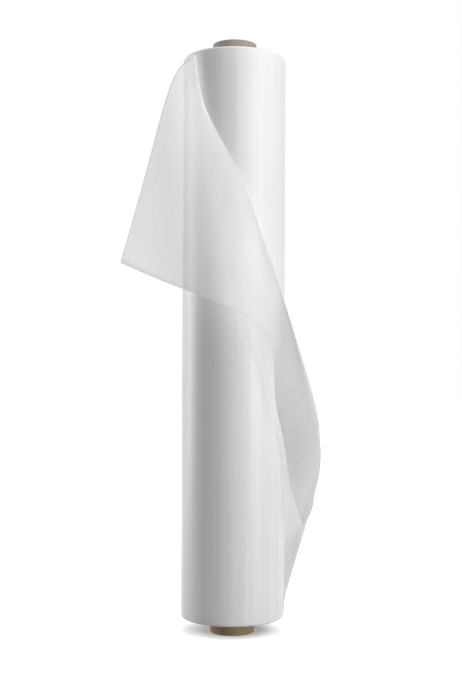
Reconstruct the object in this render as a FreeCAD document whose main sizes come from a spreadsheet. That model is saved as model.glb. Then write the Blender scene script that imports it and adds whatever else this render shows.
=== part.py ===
import FreeCAD, Part
import math
import os

import Sketcher

# A roll of plastic film standing on its end: a paperboard core tube, and one web of film that is
# wound on it and whose end has come loose. The loose end leaves the roll along a slanting line, is
# folded over towards the front, and hangs down on the left.
#
# Frame: +Z up along the roll's axis, origin at the centre of the core's lower end. An angle round the
# roll is 0 at the front (-Y) and grows towards the right (+X).

# Driving dimensions, in millimetres.
SIZES = {
    "core_bore": 76.2,
    "core_wall": 6.0,
    "core_projection": 30.0,
    "film_width": 1118.0,
    "roll_diameter": 206.0,
    "winding_gap": 0.1,
    "rim_rounding": 4.0,
    "loose_end_thickness": 1.2,
}

# The loose end is spanned by lines of the web that lay level while it was wound. A row holds the
# line's place as a share of the film's width, the angle at which it leaves the roll, and the points
# that it passes on its way to the web's cut end. A point is its angle round the roll in degrees, its
# distance off the roll's surface in millimetres, and its height as a share of the film's width.
WEB_LINES = [
    (0.0, 90, [(110, 7, 0.005), (125, 20, 0.005), (138, 33, 0.005),
               (149, 42, 0.005), (159, 46, 0.005), (169, 46, 0.005)]),
    (0.1, 82, [(103, 21, 0.098), (114.5, 41.5, 0.096), (125.5, 59, 0.094),
               (134.5, 72.5, 0.092), (142.5, 82, 0.090), (149.5, 88, 0.088)]),
    (0.15, 77, [(103.5, 29.5, 0.147), (113.5, 54.5, 0.144), (123.5, 78, 0.139),
                (130.5, 94, 0.134), (136.5, 106, 0.129), (142, 114, 0.124)]),
    (0.175, 74.5, [(104.5, 33, 0.172), (114.5, 60.5, 0.168), (123.5, 84, 0.163),
                   (129.5, 100, 0.156), (133, 108, 0.145), (135.5, 108, 0.133)]),
    (0.2, 72, [(106, 34, 0.196), (116.5, 63, 0.190), (124, 84, 0.181),
               (127, 92, 0.166), (128.5, 91, 0.150), (129.5, 88, 0.136)]),
    (0.25, 64, [(104.5, 43, 0.244), (109.5, 73.5, 0.227), (111.5, 76, 0.207),
                (112.5, 75, 0.187), (113.5, 67, 0.165), (114.5, 57, 0.145)]),
    (0.3, 56, [(102, 53, 0.294), (103, 79, 0.268), (99, 67, 0.227),
               (97, 60, 0.200), (96, 50, 0.180), (95.5, 37, 0.165)]),
    (0.4, 34, [(75.5, 32, 0.392), (80.5, 63, 0.362), (80, 70, 0.307),
               (79.5, 58.5, 0.272), (78.5, 37, 0.252), (77.5, 13.5, 0.239)]),
    (0.5, 12, [(51.5, 32, 0.491), (56.5, 63, 0.435), (59.5, 79, 0.374),
               (59.5, 67.5, 0.341), (58, 46, 0.324), (55, 18.5, 0.314)]),
    (0.6, -4, [(33.5, 26.5, 0.594), (42.5, 57.5, 0.521), (45.5, 74, 0.462),
               (44, 66.5, 0.431), (40.5, 51.5, 0.414), (36, 33, 0.400)]),
    (0.7, -14, [(17, 14, 0.693), (28, 29, 0.647), (34.5, 42, 0.589),
                (34.5, 47, 0.556), (32, 47, 0.526), (26.5, 45, 0.492)]),
    (0.8, -23, [(-3.5, 4, 0.795), (6.5, 12, 0.765), (10.5, 22, 0.724),
                (9, 34, 0.677), (2, 48, 0.622), (-8, 56, 0.549)]),
    (0.9, -41, [(-33.5, 4.5, 0.897), (-27, 8.5, 0.874), (-23.5, 14, 0.845),
                (-26.5, 38, 0.781), (-33.5, 62, 0.691), (-41, 80, 0.584)]),
    (1.0, -52, [(-44.5, 9, 0.992), (-41.5, 12, 0.988), (-46, 27, 0.976),
                (-52.5, 55.5, 0.927), (-56, 86, 0.824), (-61, 144, 0.621)]),
]
# Samples taken along each stretch between two points of a line, and across the lines.
STRETCH_SAMPLES = (1, 5, 3, 3, 3, 3, 4)
WEB_SAMPLES = 41
# Each line starts a little inside the roll, so that the loose end grows out of the wound turns.
ROOT_DEPTH = 5.0
ROOT_ANGLE = 9.0
# The web's outer lines start this share of its width inside the wound film's end faces.
EDGE_SHARE = 0.005
# A spline's parameter grows with the distance between its points to this power.
CHORD_POWER = 0.75
# Two radii nearer than this are the same.
SAME_RADIUS = 1e-6

doc = FreeCAD.newDocument("FilmRoll")


def make_sheet():
    """The spreadsheet that holds the driving dimensions, one aliased cell for each."""
    sheet = doc.addObject("Spreadsheet::Sheet", "sizes")
    for row, (name, value) in enumerate(SIZES.items(), start=1):
        sheet.set(f"A{row}", name)
        sheet.set(f"B{row}", str(value))
        sheet.setAlias(f"B{row}", name)
    doc.recompute()
    return sheet


def size(name):
    return float(getattr(sizes, name))


def ring_body(label, inner, outer, height, base):
    """A body with one ring padded up from the height `base`. All four sizes are expressions."""
    body = doc.addObject("PartDesign::Body", label)
    body.Label = label
    sketch = body.newObject("Sketcher::SketchObject", label + "_profile")
    plane = next(p for p in body.Origin.OriginFeatures if p.Role == "XY_Plane")
    sketch.AttachmentSupport = (plane, [""])
    sketch.MapMode = "FlatFace"
    sketch.setExpression("AttachmentOffset.Base.z", base)
    # The circles are drawn at the roll's radius and half of it, until the expressions set their size.
    drawn_at = size("roll_diameter") / 2
    for index, (radius, drawn_radius) in enumerate(((inner, drawn_at / 2), (outer, drawn_at))):
        circle = Part.Circle(FreeCAD.Vector(0, 0, 0), FreeCAD.Vector(0, 0, 1), drawn_radius)
        sketch.addGeometry(circle, False)
        sketch.addConstraint(Sketcher.Constraint("Coincident", index, 3, -1, 1))
        constraint = sketch.addConstraint(Sketcher.Constraint("Radius", index, drawn_radius))
        sketch.setExpression(f"Constraints[{constraint}]", radius)
    pad = body.newObject("PartDesign::Pad", label + "_pad")
    pad.Profile = sketch
    pad.setExpression("Length", height)
    doc.recompute()
    return body, pad


def round_rims(body, pad, radius):
    """Rounds the two outer rims of a ring body."""
    rims = []
    for index, edge in enumerate(pad.Shape.Edges, start=1):
        if isinstance(edge.Curve, Part.Circle) and abs(edge.Curve.Radius - radius) < SAME_RADIUS:
            rims.append(f"Edge{index}")
    fillet = body.newObject("PartDesign::Fillet", body.Label + "_rims")
    fillet.Base = (pad, rims)
    fillet.setExpression("Radius", "sizes.rim_rounding")
    body.Tip = fillet
    doc.recompute()


def roll_point(angle, off, share):
    """The point at an angle round the roll, a distance off its surface and a share of the film's width."""
    radius = size("roll_diameter") / 2 + off
    turn = math.radians(angle)
    height = size("core_projection") + share * size("film_width")
    return FreeCAD.Vector(radius * math.sin(turn), -radius * math.cos(turn), height)


def smooth_curve(points, parameters):
    curve = Part.BSplineCurve()
    curve.interpolate(Points=points, Parameters=parameters)
    return curve


def web_line(share, leaves_at, passes):
    """Samples of one line of the web, from inside the roll to the cut end."""
    start = min(max(share, EDGE_SHARE), 1 - EDGE_SHARE)
    points = [roll_point(leaves_at - ROOT_ANGLE, -ROOT_DEPTH, start)]
    points.append(roll_point(leaves_at, 0, start))
    points += [roll_point(*place) for place in passes]
    parameters = [0.0]
    for before, after in zip(points, points[1:]):
        parameters.append(parameters[-1] + before.distanceToPoint(after) ** CHORD_POWER)
    curve = smooth_curve(points, parameters)
    samples = []
    for start, end, count in zip(parameters, parameters[1:], STRETCH_SAMPLES):
        samples += [curve.value(start + (end - start) * step / count) for step in range(count)]
    samples.append(points[-1])
    return samples


def web_grid():
    """Points of the loose end's middle surface, in rows from the lower edge of the web to the upper."""
    shares = [line[0] for line in WEB_LINES]
    lines = [web_line(*line) for line in WEB_LINES]
    columns = [smooth_curve(list(column), shares) for column in zip(*lines)]
    rows = []
    for step in range(WEB_SAMPLES):
        share = step / (WEB_SAMPLES - 1)
        rows.append([column.value(share) for column in columns])
    return rows


def offset_grid(rows, distance):
    """The grid moved along its own normals by a distance."""
    last_row = len(rows) - 1
    last_column = len(rows[0]) - 1
    moved = []
    for i, row in enumerate(rows):
        moved.append([])
        for j, point in enumerate(row):
            along = row[min(j + 1, last_column)] - row[max(j - 1, 0)]
            across = rows[min(i + 1, last_row)][j] - rows[max(i - 1, 0)][j]
            moved[-1].append(point + along.cross(across).normalize() * distance)
    return moved


def edge_wall(curves):
    """The narrow faces that join the edges of the two sides."""
    return Part.makeLoft([Part.Wire(curve.toShape()) for curve in curves], False, True).Faces


def loose_end_shape():
    """A closed sheet of even thickness on the loose end's middle surface."""
    middle = web_grid()
    half = size("loose_end_thickness") / 2
    sides = []
    for distance in (half, -half):
        surface = Part.BSplineSurface()
        surface.interpolate(offset_grid(middle, distance))
        sides.append(surface)
    faces = [side.toShape() for side in sides]
    first_u, last_u, first_v, last_v = sides[0].bounds()
    for cut in (first_u, last_u):
        faces += edge_wall([side.uIso(cut) for side in sides])
    for cut in (first_v, last_v):
        faces += edge_wall([side.vIso(cut) for side in sides])
    skin = Part.makeCompound(faces)
    skin.sewShape()
    solid = Part.makeSolid(skin.Shells[0])
    if solid.Volume < 0:
        solid.reverse()
    return solid


def check_and_export(parts):
    """Stops if anything in the document failed, then writes one STEP file for each part."""
    for item in doc.Objects:
        if "Invalid" in item.State or "Error" in item.State:
            raise RuntimeError(f"{item.Name} failed: {item.State}")
    os.makedirs("parts", exist_ok=True)
    for item in parts:
        if item.Shape.isNull() or not item.Shape.isValid():
            raise RuntimeError(f"{item.Label} has no valid shape")
        item.Shape.exportStep(f"parts/{item.Label}.step")
        print(item.Label, len(item.Shape.Solids), round(item.Shape.Volume), item.Shape.BoundBox)


sizes = make_sheet()
core_radius = "sizes.core_bore / 2 + sizes.core_wall"

# The core tube runs right through the roll and stands proud of the film at both ends.
core_tube, core_pad = ring_body(
    "core_tube",
    inner="sizes.core_bore / 2",
    outer=core_radius,
    height="sizes.film_width + 2 * sizes.core_projection",
    base="0 mm",
)

# The wound turns are one thick ring on the core, with softly rounded rims.
wound_film, wound_pad = ring_body(
    "wound_film",
    inner=core_radius + " + sizes.winding_gap",
    outer="sizes.roll_diameter / 2",
    height="sizes.film_width",
    base="sizes.core_projection",
)
round_rims(wound_film, wound_pad, size("roll_diameter") / 2)

# The web's loose end grows out of the outermost turn.
loose_end = doc.addObject("Part::Feature", "loose_end")
loose_end.Label = "loose_end"
loose_end.Shape = loose_end_shape()
loose_end.Placement = FreeCAD.Placement()

film_web = doc.addObject("Part::Fuse", "film_web")
film_web.Label = "film_web"
film_web.Base = wound_film
film_web.Tool = loose_end
doc.recompute()

check_and_export([core_tube, film_web])
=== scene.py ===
import math

import bmesh
import bpy
import numpy as np
from mathutils import Matrix, Vector


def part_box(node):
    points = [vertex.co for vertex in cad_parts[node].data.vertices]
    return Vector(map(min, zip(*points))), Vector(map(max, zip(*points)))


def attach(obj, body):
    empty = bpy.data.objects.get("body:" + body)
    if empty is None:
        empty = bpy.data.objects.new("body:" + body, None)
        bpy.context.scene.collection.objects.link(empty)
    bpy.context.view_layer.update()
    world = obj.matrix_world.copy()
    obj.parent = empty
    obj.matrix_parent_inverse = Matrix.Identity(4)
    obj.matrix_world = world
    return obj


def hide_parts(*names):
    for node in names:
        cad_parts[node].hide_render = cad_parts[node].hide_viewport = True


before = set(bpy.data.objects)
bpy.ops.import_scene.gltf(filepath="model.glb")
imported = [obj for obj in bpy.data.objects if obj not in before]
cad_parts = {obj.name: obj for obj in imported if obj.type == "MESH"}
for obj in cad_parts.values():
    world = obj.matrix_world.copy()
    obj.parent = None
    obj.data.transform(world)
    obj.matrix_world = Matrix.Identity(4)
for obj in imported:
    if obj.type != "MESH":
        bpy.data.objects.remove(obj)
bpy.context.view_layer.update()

# A roll of hazy plastic film that stands on its paperboard core. Lengths are in metres, and +Z is
# up along the roll's axis. An angle round the roll is 0 at the front (-Y) and grows towards the
# right.

WEB_LOW, WEB_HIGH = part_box("film_web")
CORE_LOW, CORE_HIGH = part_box("core_tube")
FILM_BASE = WEB_LOW.z
FILM_WIDTH = WEB_HIGH.z - WEB_LOW.z
FILM_TOP = FILM_BASE + FILM_WIDTH
CORE_RADIUS = CORE_HIGH.x
CORE_WALL = 0.006
ROLL_RADIUS = 0.103

# The clear space between the core and the innermost turn.
FILM_GAP = 0.0002

# The rounding of the film's rims and of the small edges, and the steps that a rounding is made in.
RIM_ROUNDING = 0.0045
SMALL_ROUNDING = 0.0008
ROUNDING_STEPS = 6

# The end faces are what looks up or down at least this much, no deeper than this from an end.
FACING_SHARE = 0.7
FACE_DEPTH = 0.003

# The turns' edges on the end faces: the grain of their unevenness round the roll and out from its
# axis, and the finer grain of their tone.
GRAIN_ROUND = 0.6
GRAIN_OUT = 260.0
TONE_GRAIN = 1100.0

# The loose end's guide lines, from the web's lower edge to its upper one: a line's place as a
# share of the film's width, the angle at which it leaves the roll, and the points that it passes.
# A point is its angle round the roll in degrees, its distance off the roll in millimetres, and
# its height as a share of the film's width. The sheet through these lines still crosses itself in
# two places: at the narrow fold low on the right, and along the sharp crease in front.
WEB_LINES = [
    (0.0, 90, [(110, 7, 0.005), (125, 20, 0.005), (138, 33, 0.005),
               (149, 42, 0.005), (159, 46, 0.005), (169, 46, 0.005)]),
    (0.1, 82, [(103, 21, 0.098), (114.5, 41.5, 0.096), (125.5, 59, 0.094),
               (134.5, 72.5, 0.092), (142.5, 82, 0.090), (149.5, 88, 0.088)]),
    (0.15, 77, [(103.5, 29.5, 0.147), (113.5, 54.5, 0.144), (123.5, 78, 0.139),
                (130.5, 94, 0.134), (136.5, 106, 0.129), (142, 114, 0.124)]),
    (0.175, 74.5, [(104.5, 33, 0.172), (114.5, 60.5, 0.168), (123.5, 84, 0.163),
                   (129.5, 100, 0.156), (133, 108, 0.145), (135.5, 108, 0.133)]),
    (0.2, 72, [(106, 34, 0.196), (116.5, 63, 0.190), (124, 84, 0.181),
               (127, 92, 0.166), (128.5, 91, 0.150), (129.5, 88, 0.136)]),
    (0.25, 64, [(104.5, 43, 0.244), (109.5, 73.5, 0.227), (111.5, 76, 0.207),
                (112.5, 75, 0.187), (113.5, 67, 0.165), (114.5, 57, 0.145)]),
    (0.3, 56, [(102, 53, 0.294), (103, 79, 0.268), (99, 67, 0.227),
               (97, 60, 0.200), (96, 50, 0.180), (95.5, 37, 0.165)]),
    (0.4, 34, [(75.5, 32, 0.392), (80.5, 63, 0.362), (80, 70, 0.307),
               (79.5, 58.5, 0.272), (78.5, 37, 0.252), (77.5, 13.5, 0.239)]),
    (0.5, 12, [(51.5, 32, 0.491), (56.5, 63, 0.435), (59.5, 79, 0.374),
               (59.5, 67.5, 0.341), (58, 46, 0.324), (55, 18.5, 0.314)]),
    (0.6, -4, [(33.5, 26.5, 0.594), (42.5, 57.5, 0.521), (45.5, 74, 0.462),
               (44, 66.5, 0.431), (40.5, 51.5, 0.414), (36, 33, 0.400)]),
    (0.7, -14, [(17, 14, 0.693), (28, 29, 0.647), (34.5, 42, 0.589),
                (34.5, 47, 0.556), (32, 47, 0.526), (26.5, 45, 0.492)]),
    (0.8, -23, [(-3.5, 4, 0.795), (6.5, 12, 0.765), (10.5, 22, 0.724),
                (9, 34, 0.677), (2, 48, 0.622), (-8, 56, 0.549)]),
    (0.9, -41, [(-33.5, 4.5, 0.897), (-27, 8.5, 0.874), (-23.5, 14, 0.845),
                (-26.5, 38, 0.781), (-33.5, 62, 0.691), (-41, 80, 0.584)]),
    (1.0, -52, [(-44.5, 9, 0.992), (-41.5, 12, 0.988), (-46, 27, 0.976),
                (-52.5, 55.5, 0.927), (-56, 86, 0.824), (-61, 144, 0.621)]),
]

# Each line starts inside the roll, this many millimetres deep and this many degrees before the
# place where it leaves. The outermost lines start this share of the width in from the web's
# edges.
ROOT_DEPTH = 5.0
ROOT_ANGLE = 9.0
EDGE_SHARE = 0.005

# The power of a chord's length by which the curve of a line runs, the samples on each stretch of
# it, and the rows of samples across the web.
CHORD_POWER = 0.75
STRETCH_SAMPLES = (4, 14, 10, 10, 12, 12, 14)
WEB_ROWS = 241
FILM_THICKNESS = 0.0004

# Where a line comes out of the turns, in metres along the web, and the run over which it comes
# into view from there: the shortest, what is added to it, and between which places across the web
# it grows.
LEAVES_TURNS = 0.0175
SHORTEST_FADE = 0.0005
ADDED_FADE = 0.04
FADE_GROWS = (0.3, 0.62)

# How clear the loose film is, what its haze takes from that, the share of it that glows with the
# light from behind, and the share of the lamps' light that it lets through.
FILM_CLEAR = 0.82
HAZE_TAKES = 0.08
FILM_GLOW = 0.15
LAMP_LIGHT = 0.9

# The core's spiral: the rise of one turn, and how far from a ply's middle its seam starts as a
# share of its width. Then the height where the core's two halves part: the upper half is painted
# darker and greyer, as painted shade against the strong light on its top, and the lower half
# lighter and browner, as painted light against the shadow at its foot.
PLY_RISE = 0.115
SEAM_START = 0.488
CORE_SHADE_SPLIT = 0.6

# The studio: the world's share of light, the floor's size, and a painted shadow under the roll,
# where the floor's white glow is dimmed. That painted shadow is an oval, set back a little from the
# roll's axis, whose glow grows to full white between two distances.
WORLD_LIGHT = 0.16
FLOOR_REACH = 12.0
PAINTED_SHADOW_GLOW = 0.2
PAINTED_SHADOW_SHIFT = (0.0, -0.014, 0.0)
PAINTED_SHADOW_SCALE = (0.86, 1.05, 1.0)
PAINTED_SHADOW_REACH = (0.05, 0.12)
PLAIN_WHITE = (1.0, 1.0, 1.0, 1.0)

# The camera's place, its lens in millimetres, and its turn from straight ahead, level and upright.
CAMERA_PLACE = (0.0, -2.1916, 0.524)
CAMERA_LENS = 57.76
YAW, PITCH, ROLL = -0.00216, 0.02653, 0.004716

# The lamps, all aimed at one point: name, place, width, height and watts.
LAMPS_AIM = (0.0, 0.0, 0.6)
LAMPS = [
    ("right_lamp", (1.45, -1.15, 1.03), 0.6, 2.2, 32.0),
    ("left_lamp", (-2.65, 1.0, 0.9), 0.9, 2.4, 60.0),
    ("top_lamp", (0.0, -0.6, 3.2), 1.6, 1.6, 30.0),
]


# Trees of nodes -----------------------------------------------------------------------------------

class Wire:
    """A node's output that takes part in expressions. Each operator adds its Math node."""

    def __init__(self, tree, socket):
        self.tree = tree
        self.socket = socket

    def math(self, operation, *others):
        return self.tree.add("ShaderNodeMath", [self, *others], operation=operation)

    def __add__(self, other):
        return self.math("ADD", other)

    def __sub__(self, other):
        return self.math("SUBTRACT", other)

    def __mul__(self, other):
        return self.math("MULTIPLY", other)

    def __truediv__(self, other):
        return self.math("DIVIDE", other)

    def __rsub__(self, other):
        return self.tree.add("ShaderNodeMath", [other, self], operation="SUBTRACT")

    def between(self, low, high):
        """0 below the low value, 1 above the high one, and in step between them."""
        return ((self - low) / (high - low)).math("MAXIMUM", 0.0).math("MINIMUM", 1.0)

    __radd__ = __add__
    __rmul__ = __mul__


class Tree:
    """Adds nodes to a shader or geometry tree."""

    def __init__(self, group):
        self.group = group

    def add(self, kind, inputs=(), output=0, stops=None, **settings):
        """A node of this type: its settings, its ramp's stops, and its inputs by name or place."""
        node = self.group.nodes.new(kind)
        for name, value in settings.items():
            setattr(node, name, value)
        if stops:
            for _ in stops[2:]:
                node.color_ramp.elements.new(0.5)
            for element, (place, colour) in zip(node.color_ramp.elements, stops):
                element.position = place
                element.color = (*colour, 1.0)
        for key, value in inputs.items() if isinstance(inputs, dict) else enumerate(inputs):
            if isinstance(value, Wire):
                self.group.links.new(value.socket, node.inputs[key])
            elif value is not None:
                node.inputs[key].default_value = value
        return Wire(self, node.outputs[output] if len(node.outputs) else None)

    def ramp(self, tone, *stops):
        """Colours by tone, from (tone, colour) stops."""
        return self.add("ShaderNodeValToRGB", [tone], stops=stops)

    def mix_colour(self, factor, low, high):
        return self.add("ShaderNodeMix", {0: factor, 6: low, 7: high}, output=2, data_type="RGBA")

    def noise(self, place, stretch, detail=3.0, roughness=0.5):
        """Noise from 0 to 1 whose size along each axis is set by itself."""
        stretched = self.add("ShaderNodeMapping", {"Vector": place, "Scale": stretch})
        sizes = {"Vector": stretched, "Scale": 1.0, "Detail": detail, "Roughness": roughness}
        return self.add("ShaderNodeTexNoise", sizes)

    def numbers(self, vector):
        """The three numbers that a vector holds."""
        first = self.add("ShaderNodeSeparateXYZ", [vector])
        return [Wire(self, socket) for socket in first.socket.node.outputs]


def new_material(name):
    material = bpy.data.materials.new(name)
    material.use_nodes = True
    material.node_tree.nodes.clear()
    return material, Tree(material.node_tree)


# Finishes -----------------------------------------------------------------------------------------

def wound_film_finish():
    """Many tight turns of hazy film, with soft bands and fine streaks that run along the roll."""
    material, tree = new_material("wound_film")
    place = tree.add("ShaderNodeTexCoord", output="Object")
    bands = tree.noise(place, (26.0, 26.0, 0.8), detail=2.0)
    streaks = tree.noise(place, (170.0, 170.0, 1.3), detail=4.0)
    haze = tree.noise(place, (9.0, 9.0, 5.0))
    tone = 0.38 * bands + 0.42 * streaks + 0.2 * haze
    colour = tree.ramp(tone, (0.37, (0.725, 0.725, 0.727)), (0.63, (0.82, 0.82, 0.822)))
    bump = tree.add("ShaderNodeBump", {
        "Strength": 0.4, "Distance": 0.001, "Height": 0.65 * bands + 0.35 * streaks})
    surface = tree.add("ShaderNodeBsdfPrincipled", {
        "Base Color": colour, "Roughness": 0.34 + 0.16 * streaks, "Specular IOR Level": 0.35,
        "Normal": bump})
    tree.add("ShaderNodeOutputMaterial", [surface])
    return material


def turn_edges_finish():
    """The roll's end faces, where the edges of its turns lie side by side."""
    material, tree = new_material("film_turn_edges")
    place = tree.add("ShaderNodeTexCoord", output="Object")
    level = tree.add("ShaderNodeVectorMath", [place, (1.0, 1.0, 0.0)], operation="MULTIPLY")
    radius = tree.add("ShaderNodeVectorMath", [level], output="Value", operation="LENGTH")
    turns = tree.add("ShaderNodeTexNoise", {"W": radius * TONE_GRAIN, "Scale": 1.0, "Detail": 3.0},
                     noise_dimensions="1D")
    patches = tree.noise(place, (14.0, 14.0, 14.0))
    tone = 0.7 * turns + 0.3 * patches
    colour = tree.ramp(tone, (0.3, (0.60, 0.603, 0.606)), (0.7, (0.79, 0.792, 0.794)))
    bump = tree.add("ShaderNodeBump", {"Strength": 0.5, "Distance": 0.0006, "Height": turns})
    surface = tree.add("ShaderNodeBsdfPrincipled", {
        "Base Color": colour, "Roughness": 0.42 + 0.2 * patches, "Specular IOR Level": 0.35,
        "Normal": bump})
    tree.add("ShaderNodeOutputMaterial", [surface])
    return material


def loose_film_finish():
    """One hazy layer: milky, see-through, denser edge on, with faint lines along the web."""
    material, tree = new_material("loose_film")
    web = tree.add("ShaderNodeUVMap", uv_map="web")
    place = tree.add("ShaderNodeTexCoord", output="Object")
    lines = tree.noise(web, (2.0, 110.0, 1.0))
    haze = tree.noise(place, (7.0, 7.0, 5.0))
    tone = 0.4 * lines + 0.6 * haze
    colour = tree.ramp(tone, (0.34, (0.60, 0.60, 0.602)), (0.66, (0.68, 0.68, 0.682)))
    bump = tree.add("ShaderNodeBump", {"Strength": 0.2, "Distance": 0.001, "Height": tone})
    squarely = 1.02 - tree.add("ShaderNodeLayerWeight", {"Blend": 0.5}, output="Facing")
    clear = (FILM_CLEAR - HAZE_TAKES * haze) * squarely
    face = tree.add("ShaderNodeBsdfPrincipled", {
        "Base Color": colour, "Roughness": 0.38 + 0.12 * lines, "Specular IOR Level": 0.4,
        "Alpha": 1.0 - clear, "Normal": bump})
    glow = tree.add("ShaderNodeBsdfTranslucent", {"Color": (0.85, 0.85, 0.852, 1.0)})
    film = tree.add("ShaderNodeMixShader", [FILM_GLOW, face, glow])

    # Lamps shine through the haze. Where the web leaves the roll it can't be told from the turns,
    # so it comes into view from there on.
    along, across, _ = tree.numbers(web)
    fade = SHORTEST_FADE + ADDED_FADE * across.between(*FADE_GROWS)
    lifted = ((along - LEAVES_TURNS) / fade).between(0.0, 1.0)
    clinging = 1.0 - lifted * lifted * (3.0 - 2.0 * lifted)
    lamp_light = tree.add("ShaderNodeLightPath", output="Is Shadow Ray") * LAMP_LIGHT
    hidden = clinging.math("MAXIMUM", lamp_light)
    passed = tree.add("ShaderNodeBsdfTransparent")
    tree.add("ShaderNodeOutputMaterial", [tree.add("ShaderNodeMixShader", [hidden, film, passed])])
    return material


def paperboard_finish():
    """Paperboard wound on a slant from plies that lap along a seam, its upper half painted darker
    and greyer and its lower half lighter and browner, as painted light and shade.
    """
    material, tree = new_material("paperboard")
    place = tree.add("ShaderNodeTexCoord", output="Object")
    x, y, z = tree.numbers(place)
    turn = x.math("ARCTAN2", y) / (2 * math.pi)
    ply = (turn + z / PLY_RISE).math("FRACT")
    seam = (ply - 0.5).math("ABSOLUTE").math("GREATER_THAN", SEAM_START)
    fibres = tree.noise(place, (240.0, 240.0, 700.0), detail=4.0)
    scuffs = tree.noise(place, (38.0, 38.0, 38.0), detail=5.0, roughness=0.65)
    tone = 0.45 * fibres + 0.4 * scuffs + 0.15 * ply
    # Painted light and shade: the lower half gets the lighter, browner ramp and the upper half the
    # darker, greyer one, in place of how the light falls on the core's two ends.
    lower_painted_light_brown = tree.ramp(tone, (0.3, (0.42, 0.29, 0.18)), (0.7, (0.62, 0.44, 0.28)))
    upper_painted_shade_grey = tree.ramp(tone, (0.3, (0.305, 0.27, 0.225)), (0.7, (0.40, 0.36, 0.307)))
    colour = tree.mix_colour(z.math("GREATER_THAN", CORE_SHADE_SPLIT), lower_painted_light_brown, upper_painted_shade_grey)
    darker = tree.mix_colour(0.5 * seam, colour, (0.16, 0.13, 0.1, 1.0))
    height = 0.4 * fibres + 0.4 * scuffs - 0.5 * seam
    bump = tree.add("ShaderNodeBump", {"Strength": 0.6, "Distance": 0.0005, "Height": height})
    surface = tree.add("ShaderNodeBsdfPrincipled", {
        "Base Color": darker, "Roughness": 0.72 + 0.2 * scuffs, "Specular IOR Level": 0.25,
        "Normal": bump})
    tree.add("ShaderNodeOutputMaterial", [surface])
    return material


# The wound turns and the core ---------------------------------------------------------------------

def rounded_corner(radius, height, rounding, start):
    """Points of a quarter circle about (radius, height), from the angle `start` on, in degrees."""
    steps = range(ROUNDING_STEPS + 1)
    turns = [math.radians(start + 90 * step / ROUNDING_STEPS) for step in steps]
    return [(radius + rounding * math.cos(a), height + rounding * math.sin(a)) for a in turns]


def ring_section(inner, outer, base, top, inner_rounding, outer_rounding, end_step, side_step):
    """A ring's section as (radius, height) pairs that run round it once.

    The steps are the lengths of its divisions: those of its ends, and those of its outside. The
    bore's are four times as long as the outside's.
    """
    def run(first, last, step):
        count = max(1, round(abs(last - first) / step))
        return [first + (last - first) * k / count for k in range(1, count)]

    section = rounded_corner(inner + inner_rounding, base + inner_rounding, inner_rounding, 180)
    section += [(r, base) for r in run(inner + inner_rounding, outer - outer_rounding, end_step)]
    section += rounded_corner(outer - outer_rounding, base + outer_rounding, outer_rounding, 270)
    section += [(outer, z) for z in run(base + outer_rounding, top - outer_rounding, side_step)]
    section += rounded_corner(outer - outer_rounding, top - outer_rounding, outer_rounding, 0)
    section += [(r, top) for r in run(outer - outer_rounding, inner + inner_rounding, end_step)]
    section += rounded_corner(inner + inner_rounding, top - inner_rounding, inner_rounding, 90)
    section += [(inner, z) for z in run(top - inner_rounding, base + inner_rounding, 4 * side_step)]
    return section


def turning_tree():
    """A tree that turns a section round the upright axis and makes the ring slightly uneven."""
    group = bpy.data.node_groups.new("turned_ring", "GeometryNodeTree")
    face = group.interface
    face.new_socket("Section", in_out="INPUT", socket_type="NodeSocketGeometry")
    for name, kind in (("Steps Round", "Int"), ("Band Depth", "Float"), ("Band Width", "Float"),
                       ("Edge Rise", "Float"), ("Middle Height", "Float"), ("Seed", "Float"),
                       ("Finish", "Material")):
        face.new_socket(name, in_out="INPUT", socket_type="NodeSocket" + kind)
    face.new_socket("Ring", in_out="OUTPUT", socket_type="NodeSocketGeometry")

    tree = Tree(group)
    given = group.nodes.new("NodeGroupInput")
    value = {socket.name: Wire(tree, socket) for socket in given.outputs}

    # The section keeps its own place as a vector, and the circle its share of a whole turn.
    section = group.nodes.new("GeometryNodeCaptureAttribute")
    section.capture_items.new("VECTOR", "place")
    group.links.new(value["Section"].socket, section.inputs["Geometry"])
    group.links.new(tree.add("GeometryNodeInputPosition").socket, section.inputs["place"])
    circle = tree.add("GeometryNodeCurvePrimitiveCircle", {"Resolution": value["Steps Round"]},
                      mode="RADIUS")
    share = group.nodes.new("GeometryNodeCaptureAttribute")
    share.capture_items.new("FLOAT", "turn")
    group.links.new(circle.socket, share.inputs["Geometry"])
    group.links.new(tree.add("GeometryNodeSplineParameter").socket, share.inputs["turn"])
    ring = tree.add("GeometryNodeCurveToMesh", {
        "Curve": Wire(tree, share.outputs["Geometry"]),
        "Profile Curve": Wire(tree, section.outputs["Geometry"])})

    radius, height, _ = tree.numbers(Wire(tree, section.outputs["place"]))
    angle = Wire(tree, share.outputs["turn"]) * (2 * math.pi)
    across = angle.math("SINE")
    back = 0.0 - angle.math("COSINE")

    def unevenness(x, y, z, detail):
        """Noise from 0 to 1 at (x, y, z), which changes with the ring's seed."""
        noise = {"Vector": tree.add("ShaderNodeCombineXYZ", [x, y, z]), "W": value["Seed"],
                 "Scale": 1.0, "Detail": detail}
        return tree.add("ShaderNodeTexNoise", noise, noise_dimensions="4D")

    # Soft bands that run up the ring press it in, and the edges of its turns stand up unevenly.
    bands = unevenness(across / value["Band Width"], back / value["Band Width"], height, 2.0)
    edges = unevenness(across * GRAIN_ROUND, back * GRAIN_ROUND, radius * GRAIN_OUT, 3.0)
    pressed = radius - bands * value["Band Depth"]
    outward = (height - value["Middle Height"]).math("SIGN")
    raised = height - outward * edges * value["Edge Rise"]
    place = tree.add("ShaderNodeCombineXYZ", [pressed * across, pressed * back, raised])
    placed = tree.add("GeometryNodeSetPosition", {"Geometry": ring, "Position": place})
    smooth = tree.add("GeometryNodeSetShadeSmooth", {"Geometry": placed})
    real = tree.add("GeometryNodeRealizeInstances", [smooth])
    finished = tree.add("GeometryNodeSetMaterial", {"Geometry": real, "Material": value["Finish"]})
    tree.add("NodeGroupOutput", [finished])
    return group


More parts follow.
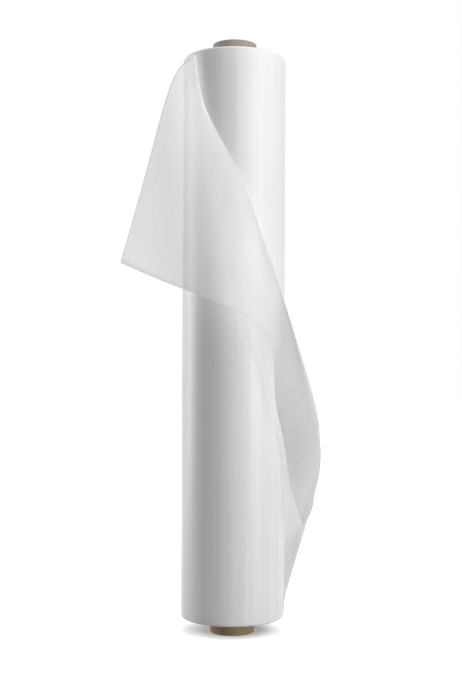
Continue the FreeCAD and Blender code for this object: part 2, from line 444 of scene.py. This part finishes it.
def turn_ring(name, group, section, finish, **sizes):
    """A piece made by the turning tree from a section, as a plain mesh with its faces outwards."""
    curve = bpy.data.curves.new(name + "_section", "CURVE")
    spline = curve.splines.new("POLY")
    spline.points.add(len(section) - 1)
    for point, (radius, height) in zip(spline.points, section):
        point.co = (radius, height, 0.0, 1.0)
    spline.use_cyclic_u = True
    holder = bpy.data.objects.new(name + "_section", curve)
    bpy.context.scene.collection.objects.link(holder)
    modifier = holder.modifiers.new("turned", "NODES")
    modifier.node_group = group
    wanted = {key.replace("_", " ").title(): value for key, value in sizes.items()}
    wanted["Finish"] = finish
    for socket in group.interface.items_tree:
        if socket.in_out == "INPUT" and socket.name in wanted:
            modifier[socket.identifier] = wanted[socket.name]
    evaluated = holder.evaluated_get(bpy.context.evaluated_depsgraph_get())
    mesh = bpy.data.meshes.new_from_object(evaluated)
    mesh.name = name
    bpy.data.objects.remove(holder)
    close_and_turn_outwards(mesh)
    piece = bpy.data.objects.new(name, mesh)
    bpy.context.scene.collection.objects.link(piece)
    return piece


def close_and_turn_outwards(mesh):
    """Joins the points that lie in one place, and turns every face outwards."""
    shape = bmesh.new()
    shape.from_mesh(mesh)
    bmesh.ops.remove_doubles(shape, verts=shape.verts, dist=1e-6)
    bmesh.ops.recalc_face_normals(shape, faces=shape.faces)
    shape.to_mesh(mesh)
    shape.free()


def finish_end_faces(piece, finish, low, high):
    """Gives another finish to the faces that look up or down at the two ends."""
    piece.data.materials.append(finish)
    for face in piece.data.polygons:
        if abs(face.normal.z) > FACING_SHARE and (face.center.z < low or face.center.z > high):
            face.material_index = 1


# The loose end ------------------------------------------------------------------------------------

def spline_through(knots, values):
    """A natural cubic spline through rows of values, as a function of the parameter."""
    knots = np.asarray(knots, float)
    values = np.asarray(values, float)
    gaps = np.diff(knots)
    slopes = np.diff(values, axis=0) / gaps[:, None]
    count = len(knots)
    system = np.eye(count)
    pull = np.zeros_like(values)
    for k in range(1, count - 1):
        system[k, k - 1:k + 2] = gaps[k - 1], 2 * (gaps[k - 1] + gaps[k]), gaps[k]
        pull[k] = 6 * (slopes[k] - slopes[k - 1])
    bend = np.linalg.solve(system, pull)

    def at(wanted):
        wanted = np.asarray(wanted, float)
        k = np.clip(np.searchsorted(knots, wanted, side="right") - 1, 0, count - 2)
        gap = gaps[k][:, None]
        low = ((knots[k + 1] - wanted)[:, None]) / gap
        high = 1 - low
        bent = (low ** 3 - low) * bend[k] + (high ** 3 - high) * bend[k + 1]
        return low * values[k] + high * values[k + 1] + bent * gap ** 2 / 6

    return at


def roll_point(angle, off, share):
    """A point from its angle in degrees, millimetres off the roll and share of the film's width."""
    radius = ROLL_RADIUS + off / 1000
    turn = math.radians(angle)
    return radius * math.sin(turn), -radius * math.cos(turn), FILM_BASE + share * FILM_WIDTH


def web_line(share, leaves_at, passes):
    """Samples of one guide line, from just inside the roll to the cut edge."""
    start = min(max(share, EDGE_SHARE), 1 - EDGE_SHARE)
    root = [(leaves_at - ROOT_ANGLE, -ROOT_DEPTH, start), (leaves_at, 0, start)]
    points = np.array([roll_point(*place) for place in [*root, *passes]])
    chords = np.linalg.norm(np.diff(points, axis=0), axis=1) ** CHORD_POWER
    knots = np.concatenate([[0.0], np.cumsum(chords)])
    wanted = [knots[0]]
    for start, end, count in zip(knots, knots[1:], STRETCH_SAMPLES):
        wanted += [start + (end - start) * step / count for step in range(1, count + 1)]
    return spline_through(knots, points)(wanted)


def web_grid():
    """The loose end's middle surface, as rows of points from the web's lower edge to its upper."""
    lines = np.array([web_line(*line) for line in WEB_LINES])
    shares = [line[0] for line in WEB_LINES]
    across = spline_through(shares, lines.reshape(len(shares), -1))
    rows = across(np.linspace(0, 1, WEB_ROWS))
    return rows.reshape(WEB_ROWS, -1, 3)


def loose_end(finish):
    """The loose end as one thin sheet, with a UV map of metres along and across the web."""
    rows = web_grid()
    row_count, column_count = rows.shape[:2]
    steps = np.linalg.norm(np.diff(rows, axis=1), axis=2)
    along = np.concatenate([np.zeros((row_count, 1)), np.cumsum(steps, axis=1)], axis=1)
    mesh = bpy.data.meshes.new("loose_film")
    faces = []
    for i in range(row_count - 1):
        for j in range(column_count - 1):
            corner = i * column_count + j
            faces.append((corner, corner + 1, corner + column_count + 1, corner + column_count))
    mesh.from_pydata(rows.reshape(-1, 3).tolist(), [], faces)
    web = mesh.uv_layers.new(name="web")
    for loop in mesh.loops:
        i, j = divmod(loop.vertex_index, column_count)
        web.data[loop.index].uv = (along[i, j], FILM_WIDTH * i / (row_count - 1))
    for face in mesh.polygons:
        face.use_smooth = True
    mesh.materials.append(finish)
    piece = bpy.data.objects.new("loose_film", mesh)
    bpy.context.scene.collection.objects.link(piece)
    wall = piece.modifiers.new("thickness", "SOLIDIFY")
    wall.thickness = FILM_THICKNESS
    wall.offset = 0.0
    return piece


# The studio ---------------------------------------------------------------------------------------

def soft_lamp(name, place, width, height, watts):
    """A rectangular lamp that is aimed at the roll."""
    lamp = bpy.data.lights.new(name, "AREA")
    lamp.shape = "RECTANGLE"
    lamp.size = width
    lamp.size_y = height
    lamp.energy = watts
    thing = bpy.data.objects.new(name, lamp)
    bpy.context.scene.collection.objects.link(thing)
    thing.location = place
    way = Vector(LAMPS_AIM) - Vector(place)
    thing.rotation_euler = way.to_track_quat("-Z", "Y").to_euler()


def seeing_rays(tree):
    """1 for a ray that sees, straight, mirrored or through something, and 0 for one that lights."""
    path = tree.add("ShaderNodeLightPath").socket.node.outputs
    seen = Wire(tree, path["Is Camera Ray"])
    for kind in ("Is Glossy Ray", "Is Transmission Ray"):
        seen = seen.math("MAXIMUM", Wire(tree, path[kind]))
    return seen


def build_floor():
    """A pale floor that shows white, keeps the roll's cast shadow, has a painted shadow where its
    white glow is dimmed under the roll, and throws little light back.
    """
    material, tree = new_material("floor")
    seen = seeing_rays(tree)
    place = tree.add("ShaderNodeTexCoord", output="Object")
    painted_shadow_oval = tree.add("ShaderNodeMapping", {
        "Vector": place, "Location": PAINTED_SHADOW_SHIFT, "Scale": PAINTED_SHADOW_SCALE})
    distance = tree.add("ShaderNodeVectorMath", [painted_shadow_oval], output="Value", operation="LENGTH")
    outside_painted_shadow = distance.between(*PAINTED_SHADOW_REACH)
    dull = tree.add("ShaderNodeBsdfDiffuse", {"Color": (0.35, 0.35, 0.35, 1.0)})
    lit = tree.add("ShaderNodeBsdfDiffuse", {"Color": (0.8, 0.8, 0.8, 1.0)})
    # Painted shadow: the white glow is dimmed to a low strength in an oval under the roll.
    strength = PAINTED_SHADOW_GLOW + (1.0 - PAINTED_SHADOW_GLOW) * outside_painted_shadow
    glow = tree.add("ShaderNodeEmission", {"Color": PLAIN_WHITE, "Strength": strength})
    white = tree.add("ShaderNodeAddShader", [lit, glow])
    tree.add("ShaderNodeOutputMaterial", [tree.add("ShaderNodeMixShader", [seen, dull, white])])
    mesh = bpy.data.meshes.new("floor")
    corners = [(-FLOOR_REACH, -FLOOR_REACH, 0), (FLOOR_REACH, -FLOOR_REACH, 0),
               (FLOOR_REACH, FLOOR_REACH, 0), (-FLOOR_REACH, FLOOR_REACH, 0)]
    mesh.from_pydata(corners, [], [(0, 1, 2, 3)])
    mesh.materials.append(material)
    floor = bpy.data.objects.new("floor", mesh)
    bpy.context.scene.collection.objects.link(floor)


def build_world():
    """A dim even light all round, which shows as plain white."""
    world = bpy.data.worlds.new("studio")
    bpy.context.scene.world = world
    world.use_nodes = True
    world.node_tree.nodes.clear()
    tree = Tree(world.node_tree)
    seen = seeing_rays(tree)
    strength = seen * (1.0 - WORLD_LIGHT) + WORLD_LIGHT
    sky = tree.add("ShaderNodeBackground", {"Color": PLAIN_WHITE, "Strength": strength})
    tree.add("ShaderNodeOutputWorld", [sky])


def build_camera():
    """A camera a little below the roll's middle, level but for a slight upward tilt."""
    camera = bpy.data.cameras.new("camera")
    camera.sensor_fit = "VERTICAL"
    camera.sensor_height = 36.0
    camera.lens = CAMERA_LENS
    thing = bpy.data.objects.new("camera", camera)
    thing.matrix_world = (
        Matrix.Translation(CAMERA_PLACE)
        @ Matrix.Rotation(-YAW, 4, "Z")
        @ Matrix.Rotation(math.pi / 2 + PITCH, 4, "X")
        @ Matrix.Rotation(ROLL, 4, "Z"))
    bpy.context.scene.collection.objects.link(thing)
    bpy.context.scene.camera = thing


# The roll, put together ---------------------------------------------------------------------------

turning = turning_tree()
wound = turn_ring(
    "wound_film", turning,
    ring_section(CORE_RADIUS + FILM_GAP, ROLL_RADIUS, FILM_BASE, FILM_TOP,
                 inner_rounding=SMALL_ROUNDING, outer_rounding=RIM_ROUNDING,
                 end_step=0.002, side_step=0.03),
    wound_film_finish(),
    steps_round=384, band_depth=0.0005, band_width=0.22, edge_rise=0.0012,
    middle_height=FILM_BASE + FILM_WIDTH / 2, seed=3.0)
finish_end_faces(wound, turn_edges_finish(), FILM_BASE + FACE_DEPTH, FILM_TOP - FACE_DEPTH)
core = turn_ring(
    "core_board", turning,
    ring_section(CORE_RADIUS - CORE_WALL, CORE_RADIUS, CORE_LOW.z, CORE_HIGH.z,
                 inner_rounding=SMALL_ROUNDING, outer_rounding=SMALL_ROUNDING,
                 end_step=0.001, side_step=0.02),
    paperboard_finish(),
    steps_round=128, band_depth=0.0001, band_width=0.3, edge_rise=0.0003,
    middle_height=CORE_HIGH.z / 2, seed=8.0)
loose = loose_end(loose_film_finish())

stands_for = [(wound, "film_web", "film"), (loose, "film_web", "film"),
              (core, "core_tube", "paperboard")]
for piece, node, slot in stands_for:
    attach(piece, "root")
    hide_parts(node)

build_floor()
build_world()
build_camera()
for lamp in LAMPS:
    soft_lamp(*lamp)

view_settings = bpy.context.scene.view_settings
view_settings.view_transform = "Standard"
